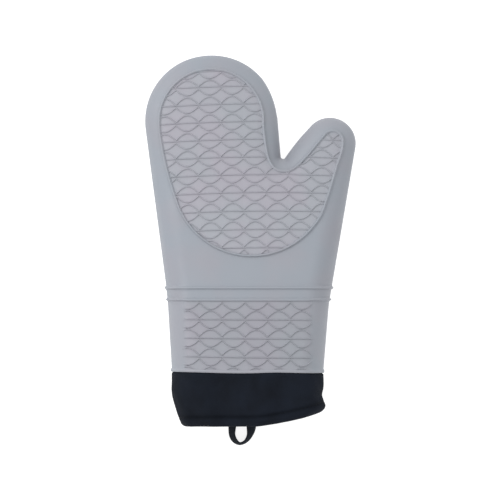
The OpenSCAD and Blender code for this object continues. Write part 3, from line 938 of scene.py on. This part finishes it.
def cuff_grid(theta):
    """One panel of the cuff: down the outside, round the hem, and up the inside. Also returns
    how near each point is to the outside's stitching, where shade is painted into the cloth's
    colour."""
    rows, press = [], []
    for drop in np.linspace(0, 1, OUTSIDE_ROWS):
        x, y = cuff_place(theta, np.full(theta.shape, drop), 0.0)
        up = y - hem_y(x)
        inset = (cuff_inset(x, y) + hem_pucker(theta, up) + hem_drop(theta, up)
                 - ripples(theta, drop))
        rows.append(cuff_point(theta, drop, np.clip(inset, -1.0, 3.0)))
        press.append(bell(up - STITCH_UP, STITCH_SHADE_W))
    for turn in TURN_STEPS:
        inset = HEM_R * (1 - np.cos(turn)) - 0.35 + hem_drop(theta, 0)
        rows.append(cuff_point(theta, 1 + HEM_R - HEM_R * np.sin(turn), inset))
    for up in np.linspace(HEM_R, HEM_TURN, INSIDE_ROWS):
        rows.append(cuff_point(theta, 1 + up, hem_inside(theta, up) + hem_drop(theta, up)))
    rows.append(cuff_point(theta, 1 + HEM_TURN + 0.2, 2 * HEM_R - EDGE_IN))
    press += [np.zeros(len(theta))] * (len(rows) - len(press))
    return np.array(rows), np.array(press)


def solid_sheet(obj, thickness):
    """Gives a sheet its thickness, inwards, with the modifier applied."""
    made = obj.modifiers.new("thickness", "SOLIDIFY")
    made.thickness = thickness * MM
    made.offset = -1
    dg = bpy.context.evaluated_depsgraph_get()
    mesh = bpy.data.meshes.new_from_object(obj.evaluated_get(dg))
    obj.modifiers.clear()
    obj.data = mesh
    mesh.shade_smooth()
    return obj


def cuff_panels():
    """The palm and back panels, which meet at the side seams."""
    made = []
    half = np.linspace(0, np.pi, AROUND // 2 + 1)
    for name, theta, node in (("cuff_palm_panel", half, "cuff_palm"),
                              ("cuff_back_panel", half + np.pi, "cuff_back")):
        grid, press = cuff_grid(theta)
        u, v = arc_lengths(grid)
        # press carries where shade is painted into the cloth's colour along the hem's stitching
        marks = {"u": u.ravel(), "v": v.ravel(), "press": press.ravel()}
        obj = mesh_object(name, *strip(grid), None, marks)
        solid_sheet(obj, FABRIC_T)
        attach(obj, "hand")
        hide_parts(node)
        made.append(obj)
    return made


cuffs = cuff_panels()


# ---------------- padded liner
# The quilting lines' pitch, the puff between them, and how it fades out at the outline
QUILT_PITCH = 24.0
QUILT_PUFF = 1.1
QUILT_FADE = 8
# How far above the hem the liner ends
LINER_UP = 2.6
# Below the first height over the hem the quilt flattens out. Below the second its lining is
# pressed back under the turned hem, by this much.
QUILT_UP, QUILT_UP_FADE = 10, 6
HEM_PRESS, HEM_PRESS_UP, HEM_PRESS_FADE = 2.2, 9.9, 3.4


def liner_bottom(x):
    return hem_y(x) + LINER_UP


def liner():
    """Quilted liner: face fabric, batting and lining in one padded body, open at the mouth."""
    def sagging(xy, p, inset):
        """The part of the liner below the rim moves with the cuff's cloth."""
        low = xy[:, 1] < RIM_Y
        x, y = xy[low].T
        left, right = between(CUFF_SIDES, y, inset)
        s = np.clip((2 * x - left - right) / (right - left), -1, 1)
        side = np.where(p[low, 2] >= palm_z(y) / 2, 1, -1)
        p[low] += sag_at(np.arccos(s) * side, (CUFF_TOP - y) / (CUFF_TOP - hem_y(x) - HEM_R))
        return p

    skins = []
    for inset, fill, quilted in zip((LINER_OUT, LINER_IN), LINER_FILLS, (False, True)):
        xy, tris, d = triangles(LINER_LINE, LINER_FIELD, inset, liner_bottom, LINER_RINGS,
                                [thumb_split], fill)
        puff = np.zeros(len(xy))
        if quilted:
            wave_in = np.abs(np.sin(np.pi * xy[:, 0] / QUILT_PITCH)) ** 0.7
            up = xy[:, 1] - hem_y(xy[:, 0])
            edge = ramp(d - inset, QUILT_FADE) * ramp(up - QUILT_UP, QUILT_UP_FADE)
            press = HEM_PRESS * ramp(HEM_PRESS_UP - up, HEM_PRESS_FADE)
            puff = -QUILT_PUFF * wave_in * edge + press

        def make(p, side, depth, inset=inset, puff=puff):
            return sagging(p, surface(p, side, inset, LINER_FIELD, puff, depth), inset)

        skins.append(two_sides(xy, tris, d, inset, liner_bottom, make)[:3])
    body, tip = hand_and_thumb(("liner_hand", "liner_thumb"), *skins)
    layers = [f"{half}_{layer}" for half in ("palm", "back")
              for layer in ("fabric", "batting", "lining")] + ["side_seam"]
    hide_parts(*[f"{n}_{part}" for n in layers for part in ("hand", "fingers")])
    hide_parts(*[f"{n}_thumb" for n in layers])
    return body, tip


liners = liner()


# ---------------- thread
# Each stitch: how many sides it has, and its rings as (share of its length, share of its width)
STITCH_SIDES = 6
STITCH_RINGS = ((0, 0.35), (0.12, 0.8), (0.32, 1.0), (0.68, 1.0), (0.88, 0.8), (1, 0.35))
# Stitch sizes, as (length, gap, thickness, height over the cloth)
HEM_STITCH = (2.9, 0.6, 0.8, 0.1)
QUILT_STITCH = (3.2, 1.0, 0.5, 0.15)
TACK_STITCH = (1.5, 0.2, 0.45, 0.05)


def stitches(name, paths, length, gap, thick, out):
    """Short rounded stitches along lines. Each path is (points, normals)."""
    share, width = np.array(STITCH_RINGS).T
    turn = np.arange(STITCH_SIDES) * 2 * np.pi / STITCH_SIDES
    wide, high = (thick / 2 * width[:, None, None] * v[:, None]
                  for v in (np.cos(turn), np.sin(turn)))
    verts, faces = [], []
    for points, normals in paths:
        s = lengths(points)

        def at(t, values):
            return np.stack([np.interp(t, s, column) for column in values.T], 1)

        for begin in np.arange(gap / 2, s[-1] - length, length + gap):
            t = begin + share * length
            n = unit(at(t, normals))
            across = np.cross(unit(at(t + 0.2, points) - at(t - 0.2, points)), n)
            middle = at(t, points) + n * (out + thick / 4 * np.sin(np.pi * share))[:, None]
            some, more = tube(middle[:, None] + across[:, None] * wide + n[:, None] * high)
            faces.append(more + len(verts) * len(some))
            verts.append(some)
    obj = mesh_object(name, np.concatenate(verts), np.concatenate(faces))
    return obj


def cuff_row(up, inset_of, outward):
    """A line round the cuff at a height above its hem, with normals: round its outside where
    outward is 1, and round the turned-in cloth where it is -1."""
    theta = np.linspace(0, 2 * np.pi, 700)

    def ring(shift, deeper):
        drop = 1 + up + shift
        if outward > 0:
            low = hem_y(cuff_place(theta, np.full(theta.shape, 0.9), 0.0)[0])
            drop = (CUFF_TOP - (low + up + shift)) / (CUFF_TOP - low - HEM_R)
        return cuff_point(theta, drop, inset_of(theta, drop) + deeper)

    p = ring(0, 0)
    n = unit(np.cross(np.gradient(p, axis=0), ring(0.5, 0) - ring(-0.5, 0)))
    n *= np.sign(np.sum(n * (ring(0, -0.5) - p), axis=1))[:, None] * outward
    return p, n


hem_stitches = stitches("hem_stitches", [
    cuff_row(STITCH_UP, lambda th, drop: hem_pucker(th, STITCH_UP) - ripples(th, drop), 1),
    cuff_row(STITCH_UP, lambda th, drop: hem_inside(th, STITCH_UP), -1)], *HEM_STITCH)
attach(hem_stitches, "hand")
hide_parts("hem_thread")


def quilt_path(x, low, high, side):
    """A straight line of quilting on the lining, with normals."""
    y = np.arange(low, high, 2.0)
    xy = np.stack([np.full(y.shape, x), y], 1)
    p = surface(xy, side, LINER_IN, LINER_FIELD)
    n = np.tile([0.0, 0.0, -side], (len(y), 1))
    return p, n


# From where to where the quilting runs on the hand and on the fingers, along Y
QUILT_HAND, QUILT_FINGERS = (-136.0, 64.0), (88, 110)
palm_rows, back_rows = ([quilt_path(i * QUILT_PITCH, *QUILT_HAND, side)
                         for i in (-2, -1, 0, 1, 2)] for side in (1, -1))
finger_rows = [quilt_path(i * QUILT_PITCH, *QUILT_FINGERS, side)
               for i in (-2, -1, 0) for side in (-1, 1)]
quilting = []
for part, body, rows in (("palm", "hand", palm_rows), ("back", "hand", back_rows),
                         ("fingers", "fingers", finger_rows)):
    quilting.append(stitches("quilting_stitches_" + part, rows, *QUILT_STITCH))
    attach(quilting[-1], body)
    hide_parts("quilting_thread_" + part)


# ---------------- adhesive under the rim
# The band's cross section as (inset, height above the rim), and points round it
BOND = ((1.64, 0.3), (1.64, 11.0), (1.86, 11.0), (1.86, 0.3))
BOND_AROUND = 150


def adhesive():
    """A thin closed band of glue under the shell's rim."""
    theta = np.arange(BOND_AROUND) / BOND_AROUND * 2 * np.pi
    rows = []
    for inset, up in BOND:
        x, y = places(theta, lambda x, up=up: rim_y(x) + up, SHELL_SIDES, inset)
        rows.append(round_mitt(theta, x, y, inset, SHELL_SIDES, SHELL_FIELD))
    points, faces = strip(np.array(rows), closed=True)
    n = len(theta)
    last = [(3 * n + i, i, (i + 1) % n, 3 * n + (i + 1) % n) for i in range(n)]
    obj = mesh_object("adhesive_band", points, np.concatenate([faces, last]))
    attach(obj, "hand")
    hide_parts("rim_bond")
    return obj


bond = adhesive()


# ---------------- hanging loop
TAPE_T = 1.5
TAPE_W = 8.1
TAPE_PATH = (  # (x, y, z, twist in degrees)
    (-15.2, -137.5, 8.2, 0), (-15.2, -143.0, 8.0, 12), (-15.2, -148.0, 7.2, 36),
    (-15.5, -152.5, 5.8, 46), (-15.4, -156.0, 4.9, 52), (-14.3, -159.4, 4.5, 57),
    (-12.0, -162.3, 4.4, 66), (-8.8, -163.9, 4.4, 78), (-5.0, -162.7, 4.4, 76),
    (-2.1, -159.9, 4.5, 67), (-0.2, -156.2, 4.9, 53), (0.7, -152.7, 5.8, 33),
    (0.9, -149.5, 7.0, 10), (1.0, -144.5, 7.8, 2), (1.0, -137.5, 8.2, 0))
TAPE_STEPS, TAPE_SIDES = 7, 20
# Exponents that square off the tape's cross section, along its width and its thickness
TAPE_SQUARE = (0.35, 0.6)
# Bartacks: from and to across each end, their heights along Y, and the zigzag's size
TACK_X, TACK_Y, TACK_ZIG = ((-19.0, -12.3), (-3.1, 4.1)), (-139.6, -144.6), 0.9
TACK_POINTS = 40
TACK_Z = 8.1 + TAPE_T / 2 + 0.1


def tape_loop():
    """A flat woven tape that turns on its side round the bottom of the loop."""
    rows = np.array(TAPE_PATH, float)
    n = len(rows) - 1
    fine = []
    for i in range(n):
        fine += spline(rows[max(i - 1, 0)], rows[i], rows[i + 1], rows[min(i + 2, n)], TAPE_STEPS)
    fine = np.array(fine + [rows[-1]])
    p, twist = fine[:, :3], np.radians(fine[:, 3])
    way = unit(np.gradient(p, axis=0))
    flat = unit(np.cross([0, 0, 1.0], way))
    up = np.cross(way, flat)
    across = flat * np.cos(twist)[:, None] + up * np.sin(twist)[:, None]
    face = np.cross(way, across)
    count = TAPE_SIDES
    a = np.arange(count) / count * 2 * np.pi
    sx = np.sign(np.cos(a)) * np.abs(np.cos(a)) ** TAPE_SQUARE[0]
    sz = np.sign(np.sin(a)) * np.abs(np.sin(a)) ** TAPE_SQUARE[1]
    grid = (p[:, None] + across[:, None] * (TAPE_W / 2 * sx[None, :, None])
            + face[:, None] * (TAPE_T / 2 * sz[None, :, None]))
    _, v = arc_lengths(grid)
    u = np.tile(sx * 3.5 * MM, (len(p), 1))
    obj = mesh_object("hanging_loop_tape", *tube(grid), None, {"u": u.ravel(), "v": v.ravel()})
    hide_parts("hanging_loop", "loop_ends")
    y = hinge_facts("loop_swing")[0][1]
    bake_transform(obj)
    return obj


tape = tape_loop()


def bartack():
    """Two zigzag lines of thread over each sewn-in end of the tape."""
    paths = []
    n = TACK_POINTS
    for x0, x1 in TACK_X:
        for y in TACK_Y:
            zig = y + TACK_ZIG * np.abs((np.arange(n) % 4) - 2) / 2
            p = np.stack([np.linspace(x0, x1, n), zig, np.full(n, TACK_Z)], 1)
            paths.append((p, np.tile([0.0, 0, 1], (n, 1))))
    obj = stitches("loop_bartack_stitches", paths, *TACK_STITCH)
    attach(obj, "hand")
    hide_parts("loop_bartack")
    return obj


tacks = bartack()


# ---------------- materials
class Nodes:
    """A material with short ways to add and join its nodes."""

    def __init__(self, name, roughness, sheen=0.0, specular=0.5):
        self.material = bpy.data.materials.new(name)
        self.material.use_nodes = True
        self.tree = self.material.node_tree
        self.shader = self.tree.nodes["Principled BSDF"]
        for key, value in (("Roughness", roughness), ("Specular IOR Level", specular),
                           ("Sheen Weight", sheen), ("Sheen Roughness", 0.5)):
            self.shader.inputs[key].default_value = value

    def add(self, kind, inputs=(), **settings):
        node = self.tree.nodes.new(kind)
        for key, value in settings.items():
            setattr(node, key, value)
        for key, value in dict(inputs).items():
            socket = node.inputs[key]
            if isinstance(value, bpy.types.NodeSocket):
                self.tree.links.new(value, socket)
            else:
                socket.default_value = value
        return node

    def place(self):
        return self.add("ShaderNodeTexCoord").outputs["Object"]

    def mark(self, name):
        """A value that the mesh carries at its points."""
        return self.add("ShaderNodeAttribute", attribute_name=name).outputs["Fac"]

    def noise(self, vector, scale, detail=2.0, rough=0.5):
        node = self.add("ShaderNodeTexNoise", {"Vector": vector, "Scale": scale, "Detail": detail,
                                               "Roughness": rough})
        return node.outputs["Fac"]

    def yarns(self, vector, scale, distortion, direction):
        node = self.add("ShaderNodeTexWave", {"Vector": vector, "Scale": scale,
                                              "Distortion": distortion},
                        bands_direction=direction)
        return node.outputs["Fac"]

    def spread(self, value, low, high, to_low=0, to_high=1):
        node = self.add("ShaderNodeMapRange", {"Value": value, "From Min": low, "From Max": high,
                                               "To Min": to_low, "To Max": to_high})
        return node.outputs["Result"]

    def mix(self, share, a, b):
        a, b = (v if isinstance(v, bpy.types.NodeSocket) else (*v, 1) for v in (a, b))
        return self.add("ShaderNodeMix", {0: share, 6: a, 7: b}, data_type="RGBA").outputs[2]

    def maths(self, a, b, operation="ADD"):
        return self.add("ShaderNodeMath", {0: a, 1: b}, operation=operation).outputs[0]

    def bump(self, height, strength, distance, normal=None):
        inputs = {"Height": height, "Strength": strength, "Distance": distance}
        if normal is not None:
            inputs["Normal"] = normal
        return self.add("ShaderNodeBump", inputs).outputs["Normal"]

    def finish(self, colour, normal=None, roughness=None):
        for key, value in (("Base Color", colour), ("Normal", normal), ("Roughness", roughness)):
            if value is not None:
                self.tree.links.new(value, self.shader.inputs[key])
        return self.material


def silicone():
    n = Nodes("silicone", 0.5, specular=0.4)
    place = n.place()
    mottle = n.spread(n.noise(place, 26, 3), 0.38, 0.62)
    broad = n.spread(n.noise(place, 7, 1), 0.35, 0.65)
    plain = n.mix(mottle, (0.228, 0.249, 0.282), (0.240, 0.246, 0.277))
    panel = n.mix(mottle, (0.271, 0.282, 0.312), (0.286, 0.276, 0.314))
    wrist = n.mix(mottle, (0.238, 0.249, 0.276), (0.248, 0.243, 0.277))
    ground = n.mark("ground")
    colour = n.mix(n.spread(ground, 0, 1), plain, panel)
    colour = n.mix(n.spread(ground, 0, -1), colour, wrist)
    colour = n.mix(n.spread(broad, 0, 1, 0, 0.25), colour, (0.235, 0.250, 0.275))
    rib = n.mark("rib")
    colour = n.mix(n.spread(rib, 0.5, 1.0, 0, 0.10), colour, (0.31, 0.325, 0.355))
    grain = n.noise(place, 1500, 3, 0.6)
    normal = n.bump(grain, 0.10, 0.0002)
    rough = n.spread(n.noise(place, 60, 3), 0.3, 0.7, 0.44, 0.58)
    return n.finish(colour, normal, rough)


def twill(name, dark, light, pitch, slant=1):
    """Woven cloth with a fine diagonal rib, laid out along the u and v of its own mesh."""
    n = Nodes(name, 0.9, sheen=0.008, specular=0.04)
    u = n.mark("u")
    v = n.mark("v")
    turn = 2 * math.pi / pitch
    diagonal = n.maths(n.maths(u, v, "ADD" if slant > 0 else "SUBTRACT"), turn, "MULTIPLY")
    rib = n.spread(n.maths(diagonal, 0.0, "SINE"), -1, 1)
    yarn = n.spread(n.maths(n.maths(v, turn * 1.6, "MULTIPLY"), 0.0, "SINE"), -1, 1)
    weave = n.maths(rib, n.maths(yarn, 0.4, "MULTIPLY"))
    place = n.place()
    cloud = n.spread(n.maths(n.noise(place, 70, 3), n.noise(place, 16, 2)), 0.75, 1.25)
    fuzz = n.noise(place, 2600, 2)
    colour = n.mix(n.spread(weave, 0, 1.4), dark, light)
    colour = n.mix(n.spread(cloud, 0, 1, 0, 0.75), colour, tuple(2.2 * c for c in dark))
    # Painted shade: along the hem's stitching, where the press mark is high, the cloth's colour is
    # darkened towards half its dark colour
    press = n.mark("press")
    colour = n.mix(n.spread(press, 0, 1, 0, 0.45), colour, tuple(0.5 * c for c in dark))
    normal = n.bump(weave, 0.5, 0.00025, n.bump(fuzz, 0.25, 0.0002))
    return n.finish(colour, normal)


def quilted_cotton():
    n = Nodes("lining_cotton", 0.9, sheen=0.2, specular=0.2)
    place = n.place()
    cloud = n.spread(n.noise(place, 30, 3), 0.3, 0.7)
    cloth = n.maths(n.yarns(place, 330, 1.5, "X"), n.yarns(place, 330, 1.5, "Y"))
    colour = n.mix(cloud, (0.30, 0.31, 0.33), (0.36, 0.37, 0.39))
    colour = n.mix(n.spread(cloth, 0, 2, 0, 0.2), colour, (0.22, 0.23, 0.25))
    return n.finish(colour, n.bump(cloth, 0.35, 0.0003))


def thread(name, dark, light):
    n = Nodes(name, 0.8, sheen=0.05, specular=0.15)
    ply = n.yarns(n.place(), 700, 2, "DIAGONAL")
    return n.finish(n.mix(ply, dark, light), n.bump(ply, 0.5, 0.0002))


def glue():
    n = Nodes("adhesive", 0.3)
    return n.finish(n.mix(n.noise(n.place(), 300, 2), (0.55, 0.55, 0.52), (0.68, 0.68, 0.64)))


def give(material, *objects):
    for obj in objects:
        obj.data.materials.clear()
        obj.data.materials.append(material)


give(silicone(), *shells)
give(twill("navy_twill", (0.0049, 0.0063, 0.0097), (0.0108, 0.0127, 0.0171), 0.0011), *cuffs)
give(twill("dark_tape", (0.0092, 0.0112, 0.0150), (0.0190, 0.0220, 0.0275), 0.0012, slant=-1), tape)
give(quilted_cotton(), *liners)
give(thread("navy_thread", (0.0020, 0.0026, 0.0040), (0.0050, 0.0062, 0.0090)),
     hem_stitches, tacks)
give(thread("grey_thread", (0.20, 0.21, 0.23), (0.30, 0.31, 0.33)), *quilting)
give(glue(), bond)


# ---------------- floor, light and camera
# Width that the camera sees, in metres. The long lens stands for the photo's flat view.
FRAME_W = 0.4236
LENS, SENSOR = 1200.0, 36.0
# What the camera stands over, and the height at which it sees that width
AIM, AIM_Z = (-0.0002, 0.0003), 0.02
FLOOR_GLOW = 0.82
SKY = 0.94


def floor():
    mesh = bpy.data.meshes.new("floor")
    mesh.from_pydata([(-4, -4, 0), (4, -4, 0), (4, 4, 0), (-4, 4, 0)], [], [(0, 1, 2, 3)])
    obj = link(bpy.data.objects.new("floor", mesh))
    n = Nodes("floor_paper", 0.8)
    paper = n.mix(n.noise(n.place(), 3, 2), (0.43, 0.43, 0.43), (0.45, 0.45, 0.45))
    mesh.materials.append(n.finish(paper))
    n.shader.inputs["Emission Color"].default_value = (1, 1, 1, 1)
    n.shader.inputs["Emission Strength"].default_value = FLOOR_GLOW


def area_light(name, place, size, power):
    data = bpy.data.lights.new(name, "AREA")
    data.size, data.energy = size, power
    obj = link(bpy.data.objects.new(name, data))
    obj.location = place
    obj.rotation_euler = (-Vector(place)).to_track_quat("-Z", "Y").to_euler()


floor()
area_light("key", (-1.1, 0.7, 1.3), 0.9, 17.5)
area_light("fill", (0.3, 0.6, 2.1), 1.6, 8.5)
world = bpy.data.worlds.new("studio")
bpy.context.scene.world = world
world.use_nodes = True
sky = world.node_tree.nodes["Background"].inputs
sky["Color"].default_value = (1, 1, 1, 1)
sky["Strength"].default_value = SKY

lens = bpy.data.cameras.new("camera")
lens.lens, lens.sensor_width = LENS, SENSOR
camera = link(bpy.data.objects.new("camera", lens))
camera.location = (*AIM, FRAME_W * LENS / SENSOR + AIM_Z)
lens.clip_end = 20
bpy.context.scene.camera = camera
bpy.context.scene.view_settings.view_transform = "Standard"
